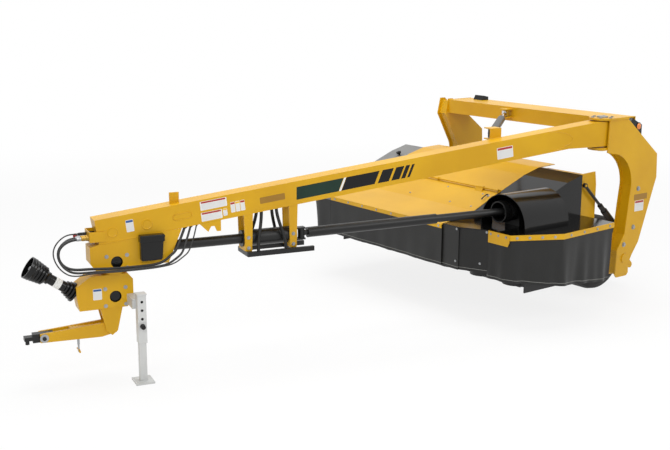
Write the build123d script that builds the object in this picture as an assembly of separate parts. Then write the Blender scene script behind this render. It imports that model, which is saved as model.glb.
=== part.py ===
from build123d import *
import os
from math import cos, hypot, radians, sin

# Trailed disc mower conditioner, parked on its wheels and jack, with its tongue at transport.
# X is across the machine (+X its left), -Y is towards the tractor, Z is up from the floor.
# Sizes are in millimetres. Y = 0 is the tongue's swing pivot and X = 0 the machine's middle,
# until all nodes are moved so that the origin is under the middle of the whole machine.

os.makedirs("parts", exist_ok=True)

# Fits
SLIP = 0.05
GAP = 0.3

# Wheels
TYRE_R = 392
TYRE_HALF = 170
RIM_R = 194.5
WHEEL_X = 690
WHEEL_Y = 500
SPINDLE_R = 35

# Carrying frame: a beam on two C-shaped legs of two plates each
LEG_OUT = 1302
LEG_IN = 1160
PLATE = 12
WEB_INSET = 25
WEB = 20
TOP_Z = 1865
BEAM_Y = (190, 555)
BEAM_Z = (1704, 1854)
BEAM_WALL = 10
ARM_PIVOT = (317, 457)
ARM_PIVOT_R = 45
LEVER_PIN = (467, 362)
LIFT_PIN = (477, 1150)
LINK_PIN = (300, 600)
STRUT_FOOT = (345, 790)

# Tongue: a box tube that falls towards the hitch, turned inwards for transport
PIVOT_X = 1190
PIVOT_R = 35
SWING = 13.1
TONGUE_HALF = 85
TONGUE_TOP = 1864
TONGUE_FALL = 0.114
TONGUE_H = 201
TONGUE_WALL = 8
HEAD_Z = (1613, 1854)
HEAD_S = 440
FRONT_S = 4925

# Hitch end: two gearboxes about one upright swivel axis, a fork and a jack
SWIVEL_S = 4790
SWIVEL_Z = 850
FORK_PIN = (4830, 400)
FORK_PIN_R = 25
HITCH_PIN = (5365, 380)
HITCH_PIN_R = 16
JACK_S = 4645
JACK_N = 298
JACK_HALF = 28
JACK_TOP = 724
PTO_STUB_R = 17.5
PTO_STUB = 80

# Drive shaft under the tongue
SHAFT_Z = 1025
SHAFT_R = 42
JOINT_S = 3150
SLEEVE_R = 70
TAB_S = (3255, 3659)
COUPLING = (1000, -1180, 1065)

# Swing cylinder between the beam and the tongue
CYL_BEAM = (-200, 120, 1790)
CYL_S = 1150
CYL_N = -150
CYL_R = 40
CYL_ROD_R = 20

# Header: hood, end shields, cutterbar and conditioner
HALF = 1500
HOOD_T = 6
# columns: y, z of the hood's outer surface from its front lip to its rear edge
HOOD = [(-1480, 906), (-1050, 985), (-724, 1126), (-366, 1268), (-150, 1325), (90, 1335)]
LIP = 40
COVER_X = (-1200, 550)
COVER_REAR = -728
HINGE = (-724, 1147)
HINGE_R = 8
SIDE_GAP = 6
CURTAIN_T = 8
CURTAIN_Z = 504
SKIRT_Z = 370
DECK_Z = (912, 918)
# columns: x, y of the near end's outline
DECK = [(553, -1470), (770, -1470), (1030, -1345), (1310, -1345), (1550, -900), (1500, -130), (553, -130)]
TRIM_H = 50
DECK_IN = 1100
DECK_REAR = -640
END_X = 1340
INNER_X = 1060
SUPPORT_Y = -600
BAR_Y = (-1060, -830)
BAR_Z = (370, 415)
DISC_Y = -960
DISC_PITCH = 430
DISC_COUNT = 6
KNIFE_R = 205
ROLL_R = 115
ROLL_CORE = 95
ROLL_LOBES = 8
ROLL_NIP = 12
ROLL_SHAFT = 30
ROLL_LOW = (-330, 620)
SHIELD_X = (553, 1110)
# y of the arch's front, of the hood-high part's front and of its rear
SHIELD_Y = (-1190, -1050, -150)
ARCH_REAR = -600
ARCH_X = 1060
ARCH_R = 280
ARCH_Z = 960

nodes = {}
tongue_frame = Location((PIVOT_X, 0, 0), (0, 0, -SWING))


def block(x, y, z):
    """A box between its limits along X, Y and Z."""
    size = (x[1] - x[0], y[1] - y[0], z[1] - z[0])
    return Pos((x[0] + x[1]) / 2, (y[0] + y[1]) / 2, (z[0] + z[1]) / 2) * Box(*size)


def rod(start, end, r):
    """A round bar between two points."""
    start, end = Vector(*start), Vector(*end)
    return Solid.make_cylinder(r, (end - start).length, Plane(origin=start, z_dir=end - start))


def cross_rod(x, at, r):
    """A round bar across the machine at a (y, z) point."""
    return rod((x[0], at[0], at[1]), (x[1], at[0], at[1]), r)


def side_plate(outline, x):
    """A plate with a (y, z) outline, between two X limits."""
    face = outline if isinstance(outline, Sketch) else make_face(Polyline(*outline, close=True))
    return Pos(x[0], 0, 0) * extrude(Plane.YZ * face, amount=x[1] - x[0], dir=(1, 0, 0))


def plan_plate(outline, z):
    """A plate with an (x, y) outline, between two heights."""
    face = outline if isinstance(outline, Sketch) else make_face(Polyline(*outline, close=True))
    return Pos(0, 0, z[0]) * extrude(face, amount=z[1] - z[0], dir=(0, 0, 1))


def turned(profile, at):
    """A ring or disc about an X axis from an (x, r) profile, centred at a point."""
    face = Plane.XZ * make_face(Polyline(*profile, close=True))
    return Pos(*at) * revolve(face, Axis.X)


def both_sides(name, left):
    """A piece on the left and its mirror image on the right."""
    nodes[name + "_left"] = left
    nodes[name + "_right"] = mirror(left, about=Plane.YZ)


def on_tongue(outline, n):
    """A plate with an (s, z) outline along the tongue, between two limits across it."""
    return side_plate([(-s, z) for s, z in outline], n)


def tongue_bottom(s):
    """Height of the tongue's underside at a distance from the pivot."""
    return TONGUE_TOP - TONGUE_H - TONGUE_FALL * s


def hood_z(y):
    """Height of the hood's outer surface at y."""
    for (y0, z0), (y1, z1) in zip(HOOD, HOOD[1:]):
        if y0 <= y <= y1:
            return z0 + (z1 - z0) * (y - y0) / (y1 - y0)


def hood_line(front, rear):
    """The hood's surface between two y values, as (y, z) points."""
    inner = [(y, z) for y, z in HOOD if front < y < rear]
    return [(front, hood_z(front))] + inner + [(rear, hood_z(rear))]


def hood_sheet(front, rear, x):
    """A strip of the hood's sheet."""
    line = hood_line(front, rear)
    return side_plate(line + [(y, z - HOOD_T) for y, z in reversed(line)], x)


# Legs: a long C of two plates, webs between them and a foot for the wheel arm
def leg_face(head):
    """The leg's outline, with the points of its head from the throat's arc to the top's front."""
    arc_end = head[1]
    arc = ThreePointArc((363, 1190), head[0], arc_end)
    back = [(255, TOP_Z), (750, 1478), (763, 1240), (530, 600), (440, 480), (390, 390)]
    foot = [(395, 300), (370, 272), (215, 272), (190, 300), (200, 553), (304, 707), (337, 1002)]
    return make_face(arc + Polyline(arc_end, *head[2:], *back, *foot, (363, 1190)))


def leg(face, pocket):
    """Two plates and the webs between them, bored for the wheel arm and the header's link."""
    outer = side_plate(face, (LEG_OUT - PLATE, LEG_OUT))
    inner = side_plate(face, (LEG_IN, LEG_IN + PLATE))
    ring = offset(face, -WEB_INSET, kind=Kind.INTERSECTION) - offset(face, -WEB_INSET - WEB, kind=Kind.INTERSECTION)
    between = (LEG_IN + PLATE, LEG_OUT - PLATE)
    webs = side_plate(Sketch() + ring, between) - block(between, (335, 800), (318, 760))
    if pocket:
        webs -= pocket
        inner -= pocket
    pins = cross_rod(between, LIFT_PIN, 16) + cross_rod((LEG_IN - 52, LEG_IN), STRUT_FOOT, 12)
    through = (LEG_IN - 1, LEG_OUT + 1)
    bores = cross_rod(through, ARM_PIVOT, ARM_PIVOT_R + SLIP) + cross_rod(through, LINK_PIN, 20 + SLIP)
    return outer + inner + webs + pins - bores


POCKET_Y = 140
near_head = [(300, 1400), (144, 1521), (-30, 1551), (-20, TOP_Z)]
far_head = [(358, 1270), (341, 1345), (150, 1690), (190, TOP_Z)]
head_pocket = block((LEG_IN - 1, LEG_OUT - PLATE), (-200, POCKET_Y), (1500, TOP_Z + 1))
nodes["leg_left"] = leg(leg_face(near_head), head_pocket)
nodes["leg_right"] = mirror(leg(leg_face(far_head), None), about=Plane.YZ)

beam_in = block((-LEG_IN, LEG_IN), [v + d for v, d in zip(BEAM_Y, (BEAM_WALL, -BEAM_WALL))],
                [v + d for v, d in zip(BEAM_Z, (BEAM_WALL, -BEAM_WALL))])
cyl_z = CYL_BEAM[2]
beam_lugs = [block((CYL_BEAM[0] - 45, CYL_BEAM[0] + 45), (CYL_BEAM[1] - 40, BEAM_Y[0]), (cyl_z + d, cyl_z + d + 12))
             for d in (-47, 35)]
beam_pin = rod((*CYL_BEAM[:2], cyl_z - 47), (*CYL_BEAM[:2], cyl_z + 47), 12)
nodes["beam"] = block((-LEG_IN, LEG_IN), BEAM_Y, BEAM_Z) - beam_in + beam_lugs + beam_pin

# Swing pivot: a plate above and one below the tongue's head, with an upright pin
PIVOT_PLATE_R = 125
UNDER_Z = (1575, 1600)
OVER_Z = (TOP_Z, TOP_Z + 20)
nose = Pos(PIVOT_X, 0) * Circle(PIVOT_PLATE_R)
pin_hole = Pos(PIVOT_X, 0) * Circle(PIVOT_R + SLIP)
over = nose + Pos(PIVOT_X, 127) * Rectangle(2 * PIVOT_PLATE_R, 254)
under = nose + Pos(PIVOT_X, 70) * Rectangle(2 * PIVOT_PLATE_R, 2 * 70)
under &= Pos(1100, 0) * Rectangle(2 * (LEG_OUT - PLATE - 1100), 400)
nodes["pivot_plates"] = plan_plate(over - pin_hole, OVER_Z) + plan_plate(under - pin_hole, UNDER_Z)
nodes["pivot_pin"] = (rod((PIVOT_X, 0, UNDER_Z[0] - 15), (PIVOT_X, 0, OVER_Z[1] + 12), PIVOT_R)
                      + rod((PIVOT_X, 0, OVER_Z[1]), (PIVOT_X, 0, OVER_Z[1] + 12), 55)
                      + rod((PIVOT_X, 0, UNDER_Z[1]), (PIVOT_X, 0, HEAD_Z[0] - GAP), 60))

# Wheel arms, lift cylinders and the links that carry the header
ARM_X = (880, 905)
LEVER_X = (1195, 1267)
arm_face = make_hull(((Pos(*ARM_PIVOT) * Circle(75)) + (Pos(WHEEL_Y, TYRE_R) * Circle(65))).edges())
lever_face = make_hull(((Pos(*ARM_PIVOT) * Circle(65)) + (Pos(*LEVER_PIN) * Circle(32))).edges())
eye_slot = block((LEVER_X[0] + 15, LEVER_X[1] - 15), (ARM_PIVOT[0] + 80, 600), (300, 480))
both_sides("wheel_arm", side_plate(arm_face, ARM_X) + cross_rod((ARM_X[0], LEG_OUT + 10), ARM_PIVOT, ARM_PIVOT_R)
           + cross_rod((WHEEL_X - 30, ARM_X[0]), (WHEEL_Y, TYRE_R), SPINDLE_R)
           + (side_plate(lever_face, LEVER_X) - eye_slot) + cross_rod(LEVER_X, LEVER_PIN, 14))

lift_x = (LEVER_X[0] + LEVER_X[1]) / 2
lift_eyes = (cross_rod((lift_x - 20, lift_x + 20), LEVER_PIN, 28) + cross_rod((lift_x - 25, lift_x + 25), LIFT_PIN, 32))
lift_body = (rod((lift_x, *LEVER_PIN), (lift_x, 470, 560), 20) + rod((lift_x, 470, 540), (lift_x, *LIFT_PIN), 38))
lift_holes = cross_rod((lift_x - 60, lift_x + 60), LEVER_PIN, 14 + SLIP) + cross_rod((lift_x - 60, lift_x + 60), LIFT_PIN, 16 + SLIP)
both_sides("lift_cylinder", lift_eyes + lift_body - lift_holes)

LINK_X = (1120, 1140)
LINK_HEAD = (80, 620)
link_face = make_hull(((Pos(*LINK_PIN) * Circle(45)) + (Pos(*LINK_HEAD) * Circle(45))).edges())
both_sides("header_link", side_plate(link_face, LINK_X) + cross_rod((INNER_X, LINK_X[0]), LINK_HEAD, 20)
           + cross_rod((LINK_X[1], LEG_OUT), LINK_PIN, 20))

STRUT_HEAD = (-110, 1215)
STRUT_X = (1103, 1127)
strut_mid = sum(STRUT_X) / 2
strut_holes = cross_rod((1050, LEG_IN), STRUT_HEAD, 12 + SLIP) + cross_rod((1050, LEG_IN), STRUT_FOOT, 12 + SLIP)
strut_dir = (Vector(0, *STRUT_FOOT) - Vector(0, *STRUT_HEAD)).normalized()
strut_points = [Vector(strut_mid, *STRUT_HEAD) + strut_dir * d for d in (0, 330, 420, 560)]
nodes["strut"] = (cross_rod(STRUT_X, STRUT_HEAD, 24) + cross_rod(STRUT_X, STRUT_FOOT, 30)
                  + rod(strut_points[0], strut_points[2], 15) + rod(strut_points[1], strut_points[3], 26)
                  + rod(strut_points[2], Vector(strut_mid, *STRUT_FOOT), 34) - strut_holes)

# Lamps on the near leg's slope and on the beam's far end
slope_fall = (TOP_Z - 1478) / (750 - 255)
lamp_foot = [(y, TOP_Z - slope_fall * (y - 255)) for y in (300, 480)]
near_lamp = side_plate([lamp_foot[0], lamp_foot[1], (480, 1790), (330, 1862)], (LEG_IN + 5, LEG_OUT - 5))
far_lamp = side_plate([(440, BEAM_Z[1]), (540, BEAM_Z[1]), (540, 1890), (470, 1905)], (-1010, -870))
nodes["lamps"] = Compound(children=[near_lamp, far_lamp])

# Wheels
half = TYRE_HALF
tyre = [(-105, 195), (-108, 216), (-150, 232), (-half, 285), (-half + 4, 330), (-140, 378), (-90, TYRE_R), (90, TYRE_R),
        (140, 378), (half - 4, 330), (half, 285), (150, 232), (108, 216), (105, 195), (88, 210), (135, 250), (145, 320),
        (100, 362), (-100, 362), (-145, 320), (-135, 250), (-88, 210)]
rim = [(-125, 212), (-112, 212), (-106, RIM_R), (106, RIM_R), (112, 212), (125, 212), (118, 186), (50, 176),
       (44, 110), (90, 80), (90, SPINDLE_R + SLIP), (-40, SPINDLE_R + SLIP), (-40, 70), (28, 110), (32, 176), (-118, 186)]
wheel_at = (WHEEL_X, WHEEL_Y, TYRE_R)
both_sides("tyre", turned(tyre, wheel_at))
both_sides("rim", turned(rim, wheel_at))

# Tongue and what it carries, modelled along its own length and then turned
tube_outline = [(-TONGUE_HALF, HEAD_Z[0]), (-TONGUE_HALF, HEAD_Z[1]), (90, HEAD_Z[1]),
                (FRONT_S + 16, TONGUE_TOP - TONGUE_FALL * (FRONT_S + 16)), (FRONT_S - 15, tongue_bottom(FRONT_S - 15)),
                (HEAD_S, HEAD_Z[0])]
tube = on_tongue(tube_outline, (-TONGUE_HALF, TONGUE_HALF))
hollow = [(HEAD_S + 20, HEAD_Z[0] + 12), (HEAD_S + 20, 1790), (FRONT_S - 30, 1285), (FRONT_S - 40, 1120)]
tube -= on_tongue(hollow, (-TONGUE_HALF + TONGUE_WALL, TONGUE_HALF - TONGUE_WALL))
rear_edges = tube.edges().filter_by(Axis.Z).sort_by(Axis.Y)[-2:]
tube = fillet(rear_edges, TONGUE_HALF - 1)
tube -= rod((0, 0, 1500), (0, 0, 1900), PIVOT_R + SLIP)
top_tab = block((-6, 6), (-4310, -4230), (1370, 1465))
lug_z = cyl_z - 20
swing_lugs = [block((CYL_N - 45, -TONGUE_HALF), (-CYL_S - 60, -CYL_S + 60), (lug_z - 55 + d, lug_z - 45 + d)) for d in (0, 100)]
lug_web = block((-TONGUE_HALF - 10, -TONGUE_HALF), (-CYL_S - 60, -CYL_S + 60), (1640, lug_z + 55))
lug_pin = rod((CYL_N, -CYL_S, lug_z - 50), (CYL_N, -CYL_S, lug_z + 50), 14)
nodes["tongue"] = tongue_frame * (tube + top_tab)
nodes["swing_bracket"] = tongue_frame * (lug_web + swing_lugs + lug_pin)

upper_outline = [(4480, tongue_bottom(4480)), (FRONT_S - 15, tongue_bottom(FRONT_S - 15)), (4985, 1085), (4985, 950),
                 (4930, 875), (4640, 875), (4480, 960)]
upper = on_tongue(upper_outline, (-TONGUE_HALF, TONGUE_HALF))
upper -= rod((TONGUE_HALF - 30, -4774, 949), (TONGUE_HALF + 1, -4774, 949), 48)
upper += rod((0, -SWIVEL_S, SWIVEL_Z + GAP), (0, -SWIVEL_S, 876), 95)
nodes["gearbox_upper"] = tongue_frame * upper

lower_outline = [(4690, SWIVEL_Z), (4990, SWIVEL_Z), (5105, 770), (5105, 690), (5085, 575), (4700, 575), (4650, 640), (4650, 800)]
lower = on_tongue(lower_outline, (-TONGUE_HALF, TONGUE_HALF))
lower -= rod((TONGUE_HALF - 30, -4795, 667), (TONGUE_HALF + 1, -4795, 667), 48)
ear_outline = [(4740, 575), (4920, 575), (FORK_PIN[0] + 45, 380), (FORK_PIN[0], 345), (FORK_PIN[0] - 45, 380)]
ears = on_tongue(ear_outline, (-75, -55)) + on_tongue(ear_outline, (55, 75))
lower = lower + ears + cross_rod((-75, 75), (-FORK_PIN[0], FORK_PIN[1]), FORK_PIN_R)
nodes["gearbox_lower"] = tongue_frame * lower

fork_plate = [(FORK_PIN[0] - 40, 440), (FORK_PIN[0] + 60, 450), (HITCH_PIN[0] + 30, 415), (HITCH_PIN[0] + 30, 345),
              (FORK_PIN[0] + 80, 335), (FORK_PIN[0] - 40, 360)]
fork = on_tongue(fork_plate, (-54, -34)) + on_tongue(fork_plate, (34, 54)) + block((-34, 34), (-5160, -4960), (350, 430))
fork_bores = (cross_rod((-80, 80), (-FORK_PIN[0], FORK_PIN[1]), FORK_PIN_R + SLIP)
              + cross_rod((-80, 80), (-HITCH_PIN[0], HITCH_PIN[1]), HITCH_PIN_R + SLIP))
nodes["hitch_fork"] = tongue_frame * (fork - fork_bores)
hitch = block((-33.5, 33.5), (-5450, -5290), (345, 415)) + block((-33.5, 33.5), (-5515, -5450), (365, 395))
hitch += rod((0, -5490, 365), (0, -5490, 330), HITCH_PIN_R) + cross_rod((-70, 70), (-HITCH_PIN[0], HITCH_PIN[1]), HITCH_PIN_R)
nodes["hitch_block"] = tongue_frame * hitch

jack_at = Pos(JACK_N, -JACK_S)
sleeve = jack_at * (Rectangle(2 * JACK_HALF + 14, 2 * JACK_HALF + 14) - Rectangle(2 * JACK_HALF + 1, 2 * JACK_HALF + 1))
sleeve = plan_plate(Sketch() + sleeve, (330, JACK_TOP))
sleeve += block((JACK_N - 40, JACK_N + 40), (-JACK_S - 40, -JACK_S + 40), (JACK_TOP, JACK_TOP + 10))
sleeve += block((TONGUE_HALF, JACK_N - JACK_HALF - 7), (-JACK_S - 60, -JACK_S + 20), (600, 680))
nodes["jack_sleeve"] = tongue_frame * sleeve
jack = plan_plate(Sketch() + jack_at * Rectangle(2 * JACK_HALF, 2 * JACK_HALF), (15, 400))
jack += plan_plate(Sketch() + jack_at * Rectangle(170, 150), (0, 15))
nodes["jack_leg"] = tongue_frame * jack

pto_axis = Vector(0, -370, 255).normalized()
pto_plane = Plane(origin=(0, -5090, 705), z_dir=pto_axis)
pto_profile = [(0, 12), (48, 12)] + [p for i in range(7) for p in ((48 + 3 * i, 40 + 34 * i), (60 + 4 * i, 57 + 34 * i))]
pto_profile += [(92, 300), (92, 445), (84, 445), (84, 330), (0, 330)]
pto = pto_plane.location * revolve(Plane.XZ * make_face(Polyline(*pto_profile, close=True)), Axis.Z)
pto += pto_plane.location * Pos(0, 0, 170) * Cylinder(28, 360)
pto += pto_plane.location * Pos(0, 0, 390) * Cylinder(PTO_STUB_R, PTO_STUB)
nodes["pto_guard"] = tongue_frame * (pto - lower)

# Drive shaft: a fixed front tube in its carriers, then a hinged rear tube that slides out
tabs = [on_tongue([(s - 40, tongue_bottom(s - 40)), (s + 40, tongue_bottom(s + 40)), (s + 30, 930), (s - 30, 930)], (-n - 10, -n))
        for s in TAB_S for n in (-SLEEVE_R - 12, SLEEVE_R + 2)]
saddles = [block((-SLEEVE_R - 12, SLEEVE_R + 12), (-s - 30, -s + 30), (930, 1060)) - rod((0, -s - 50, SHAFT_Z), (0, -s + 50, SHAFT_Z), SLEEVE_R + SLIP)
           for s in TAB_S]
nodes["shaft_carriers"] = tongue_frame * Compound(children=[tabs[2 * i] + tabs[2 * i + 1] + saddles[i] for i in range(2)])
front_shaft = rod((0, -4480, SHAFT_Z), (0, -3230, SHAFT_Z), SHAFT_R) + rod((0, -3700, SHAFT_Z), (0, -3215, SHAFT_Z), SLEEVE_R)
fork_ears = [block((-30, 30), (-3216, -JOINT_S + 30), (SHAFT_Z + d, SHAFT_Z + d + 14)) for d in (-54, 40)]
front_shaft = front_shaft + fork_ears + rod((0, -JOINT_S, SHAFT_Z - 50), (0, -JOINT_S, SHAFT_Z + 50), 14)
nodes["shaft_front"] = tongue_frame * front_shaft

GUARD_Z = (890, 930)
guard = [block((n - 15, n + 15), (-3682, -3080), GUARD_Z) for n in (-115, 115)]
guard_cross = [block((-115, 115), (-s - 25, -s + 25), GUARD_Z) for s in TAB_S]
nodes["shaft_guard"] = tongue_frame * (guard[0] + guard[1] + guard_cross)

coupling = tongue_frame.inverse() * Pos(*COUPLING)
coupling = coupling.position
joint = Vector(0, -JOINT_S, SHAFT_Z)
shaft_dir = (coupling - joint).normalized()
shaft_len = (coupling - joint).length
at_shaft = [joint + shaft_dir * d for d in (60, 1300, 950, shaft_len + 40)]
rear_tube = rod(joint, at_shaft[1], 45) - rod(at_shaft[2] - shaft_dir * 500, at_shaft[1] + shaft_dir, 36.1)
rear_tube -= block((-60, 60), (-3300, -JOINT_S + 55), (900, 1150))
eye = rod((0, -JOINT_S, SHAFT_Z - 39), (0, -JOINT_S, SHAFT_Z + 39), 30) + rod(joint, at_shaft[0], 24)
rear_tube = rear_tube + eye - rod((0, -JOINT_S, SHAFT_Z - 60), (0, -JOINT_S, SHAFT_Z + 60), 14 + SLIP)
nodes["shaft_rear"] = tongue_frame * rear_tube
nodes["shaft_slip"] = tongue_frame * rod(at_shaft[2], at_shaft[3], 36)
nodes["manual_box"] = tongue_frame * block((TONGUE_HALF, TONGUE_HALF + 70), (-4584, -4480), (990, 1130))

# Swing cylinder: its barrel hangs on the tongue and its rod's eye meets the beam's pin
lug = (tongue_frame * Pos(CYL_N, -CYL_S, cyl_z - 20)).position
beam_eye = Vector(*CYL_BEAM)
cyl_dir = (beam_eye - lug).normalized()
cyl_len = (beam_eye - lug).length
CYL_BODY = 1050
barrel = rod(lug, lug + cyl_dir * CYL_BODY, CYL_R) - rod(lug + cyl_dir * 120, lug + cyl_dir * (CYL_BODY + 1), CYL_ROD_R + SLIP)
barrel -= rod(lug - Vector(0, 0, 80), lug + Vector(0, 0, 80), 36)
barrel += rod(lug - Vector(0, 0, 38), lug + Vector(0, 0, 38), 38)
barrel -= rod(lug - Vector(0, 0, 80), lug + Vector(0, 0, 80), 14 + SLIP)
nodes["swing_barrel"] = barrel
swing_rod = rod(lug + cyl_dir * 140, beam_eye, CYL_ROD_R) + rod(beam_eye - Vector(0, 0, 28), beam_eye + Vector(0, 0, 28), 38)
nodes["swing_rod"] = swing_rod - rod(beam_eye - Vector(0, 0, 60), beam_eye + Vector(0, 0, 60), 26)

# Header structure: end plates, inner plates for the rolls and cross tubes
end_outline = [(-1180, 360), (-1180, 600), (-1000, DECK_Z[0]), (-130, DECK_Z[0]), (-60, 640), (-300, 360)]
inner_outline = [(y, z - HOOD_T) for y, z in hood_line(SUPPORT_Y, 90)] + [(110, 1200), (110, 560), (-250, 480), (SUPPORT_Y, 560)]
structure = Part()
for side in (-1, 1):
    structure += side_plate(end_outline, sorted((side * END_X, side * (END_X + 12))))
    structure += side_plate(inner_outline, sorted((side * INNER_X, side * (INNER_X + 12))))
structure += cross_rod((INNER_X, STRUT_X[1] + 3), STRUT_HEAD, 12)
structure += block((-INNER_X, INNER_X), (10, 90), (1200, 1280))
structure += block((-END_X, END_X), (SUPPORT_Y - 40, SUPPORT_Y + 20), (850, DECK_Z[0]))
structure += block((-INNER_X, -440), (104, 110), (600, 1280)) + block((440, INNER_X), (104, 110), (600, 1280))
ROLL_HIGH = (ROLL_LOW[0] + 30, ROLL_LOW[1] + 2 * ROLL_R + ROLL_NIP)
for at in (ROLL_LOW, ROLL_HIGH):
    structure -= cross_rod((-INNER_X - 20, INNER_X + 20), at, ROLL_SHAFT + SLIP)
for side in (-1, 1):
    structure -= cross_rod(sorted((side * (INNER_X - 1), side * (INNER_X + 13))), LINK_HEAD, 20 + SLIP)
nodes["header_frame"] = structure

# Conditioner rolls with straight lobes
lobe = Pos(ROLL_R - 16, 0) * Circle(16) + Pos(ROLL_R - 30, 0) * Rectangle(28, 32)
roll_face = Circle(ROLL_CORE) + PolarLocations(0, ROLL_LOBES) * lobe
for name, at, turn in (("roll_lower", ROLL_LOW, 0), ("roll_upper", ROLL_HIGH, 180 / ROLL_LOBES)):
    lobed = side_plate(Sketch() + Rot(0, 0, turn) * roll_face, (-INNER_X + 10, INNER_X - 10))
    nodes[name] = Pos(0, *at) * (lobed + cross_rod((-INNER_X - 12, INNER_X + 12), (0, 0), ROLL_SHAFT))

# Cutterbar with its discs, knives and skid shoes
disc_x = [(i - (DISC_COUNT - 1) / 2) * DISC_PITCH for i in range(DISC_COUNT)]
bar = block((-END_X, END_X), BAR_Y, BAR_Z)
for x in disc_x:
    bar += rod((x, DISC_Y - 40, BAR_Z[0]), (x, DISC_Y - 40, BAR_Z[1]), 130)
nodes["cutterbar"] = bar
nodes["skid_shoes"] = Compound(children=[
    side_plate([(-1060, 370), (-1040, 350), (-840, 350), (-830, 370)], (x - 90, x + 90)) for x in disc_x])
for i, x in enumerate(disc_x):
    dome = [(0, 0), (150, 0), (150, 8), (90, 34), (45, 46), (0, 46)]
    disc = revolve(Plane.XZ * make_face(Polyline(*dome, close=True)), Axis.Z)
    for side in (-1, 1):
        knife = block((-24, 24), sorted((side * 120, side * KNIFE_R)), (-5, 0))
        disc += knife
    turn = 90 * (i % 2)
    nodes[f"disc_{i + 1}"] = Pos(x, DISC_Y, BAR_Z[1] + 12) * (Rot(0, 0, turn) * disc + Pos(0, 0, -12 + GAP) * Cylinder(
        60, 12 - GAP, align=(Align.CENTER, Align.CENTER, Align.MIN)))

# Hood: grey far end, yellow middle, hinged yellow front cover
far = hood_sheet(HOOD[0][0], -150, (-HALF, COVER_X[0]))
far += block((-HALF, COVER_X[0]), (HOOD[0][0], HOOD[0][0] + HOOD_T), (HOOD[0][1] - LIP, HOOD[0][1]))
wall = hood_line(HOOD[0][0], -150) + [(-150, HOOD[0][1] - LIP), (HOOD[0][0], HOOD[0][1] - LIP)]
nodes["hood_far"] = far + side_plate(wall, (-HALF, -HALF + HOOD_T))

rear_start = COVER_REAR + 8
middle = hood_sheet(rear_start, HOOD[-1][0], COVER_X)
for x in (COVER_X[0] + 10, sum(COVER_X) / 2, COVER_X[1] - 10):
    lug_plate = [(HINGE[0] - 14, HINGE[1]), (HINGE[0], HINGE[1] + 14), (HINGE[0] + 50, hood_z(HINGE[0] + 50) - 2),
                 (rear_start, hood_z(rear_start) - 3)]
    middle += side_plate(lug_plate, (x - 5, x + 5))
middle += cross_rod((COVER_X[0] + 5, COVER_X[1] - 5), HINGE, HINGE_R)
nodes["hood_middle"] = middle

cover_x = (COVER_X[0] + SIDE_GAP, COVER_X[1] - SIDE_GAP)
cover = hood_sheet(HOOD[0][0], COVER_REAR, cover_x)
cover += block(cover_x, (HOOD[0][0], HOOD[0][0] + HOOD_T), (HOOD[0][1] - LIP, HOOD[0][1]))
for x in (-900, 250):
    strap = [(HINGE[0] - 14, HINGE[1] - 2), (HINGE[0] - 40, hood_z(HINGE[0] - 40) - 3), (COVER_REAR - 2, hood_z(COVER_REAR - 2) - 3)]
    cover += side_plate(strap, (x, x + 100)) + cross_rod((x, x + 100), HINGE, 15)
cover -= cross_rod((COVER_X[0], COVER_X[1]), HINGE, HINGE_R + SLIP)
nodes["front_cover"] = cover
front_y = (HOOD[0][0], HOOD[0][0] + CURTAIN_T)
lip_z = HOOD[0][1] - LIP
nodes["curtain_cover"] = block(cover_x, front_y, (CURTAIN_Z, lip_z))
nodes["curtain_far"] = (block((-HALF, COVER_X[0]), front_y, (CURTAIN_Z, lip_z))
                        + block((-HALF, -HALF + CURTAIN_T), (HOOD[0][0], -150), (CURTAIN_Z, lip_z)))

# Near end: black deck, skirt with its yellow trim, and the drive shield with its arch
deck_face = make_face(Polyline(*DECK, close=True))
nodes["deck_near"] = plan_plate(deck_face, DECK_Z) - block((500, DECK_IN), (DECK_REAR, 0), (900, 1000))
edge_face = deck_face - offset(deck_face, -CURTAIN_T, kind=Kind.INTERSECTION)
hem = plan_plate(Sketch() + edge_face, (SKIRT_Z, DECK_Z[0]))
open_sides = block((500, 1600), (-130 - CURTAIN_T - 1, 0), (0, 1000)) + block((500, 553 + CURTAIN_T + 1), (-1500, 0), (0, 1000))
hem -= open_sides
split_x = 1030
flaps = (hem & block((500, split_x), (-1500, -1300), (CURTAIN_Z, 1000)))
skirt = (hem & block((split_x + 10, 1600), (-1500, 0), (SKIRT_Z, DECK_Z[0])))
nodes["curtain_flaps"] = flaps
nodes["curtain_near"] = skirt
trim_face = offset(deck_face, 6, kind=Kind.INTERSECTION) - deck_face
trim = plan_plate(Sketch() + trim_face, (DECK_Z[1] - TRIM_H, DECK_Z[1]))
nodes["trim_near"] = trim & block((split_x + 10, 1600), (-1500, -130), (0, 1000))


def shield_solid(inset, past):
    """The drive shield's outside, or its inside: inset by the sheet and past its open ends."""
    x = (SHIELD_X[0] - past, SHIELD_X[1] - inset)
    rear = SHIELD_Y[2] + past
    line = [(y, z - inset) for y, z in hood_line(SHIELD_Y[1] + inset, rear)]
    prism = side_plate(line + [(rear, DECK_Z[1]), (SHIELD_Y[1] + inset, DECK_Z[1])], x)
    arch = rod((ARCH_X, SHIELD_Y[0] - past, ARCH_Z), (ARCH_X, ARCH_REAR - inset, ARCH_Z), ARCH_R - inset)
    return prism + (arch & block((0, 2000), (-2000, 0), (DECK_Z[1], 2000)))


nodes["drive_shield"] = shield_solid(0, 0) - shield_solid(HOOD_T, 1)
box = block((COUPLING[0] - 90, COUPLING[0] + 90), (-1000, -760), (DECK_Z[1], 1150))
bell_plane = Plane(origin=(COUPLING[0], -1000, COUPLING[2]), z_dir=(0, -1, 0))
bell_profile = [(60, -10), (100, -10), (92, 30), (102, 45), (94, 70), (104, 90), (96, 110), (106, 130), (100, 190), (90, 190), (86, 40), (60, 30)]
bell = bell_plane.location * revolve(Plane.XZ * make_face(Polyline(*bell_profile, close=True)), Axis.Z)
nodes["header_gearbox"] = box + bell

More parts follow.
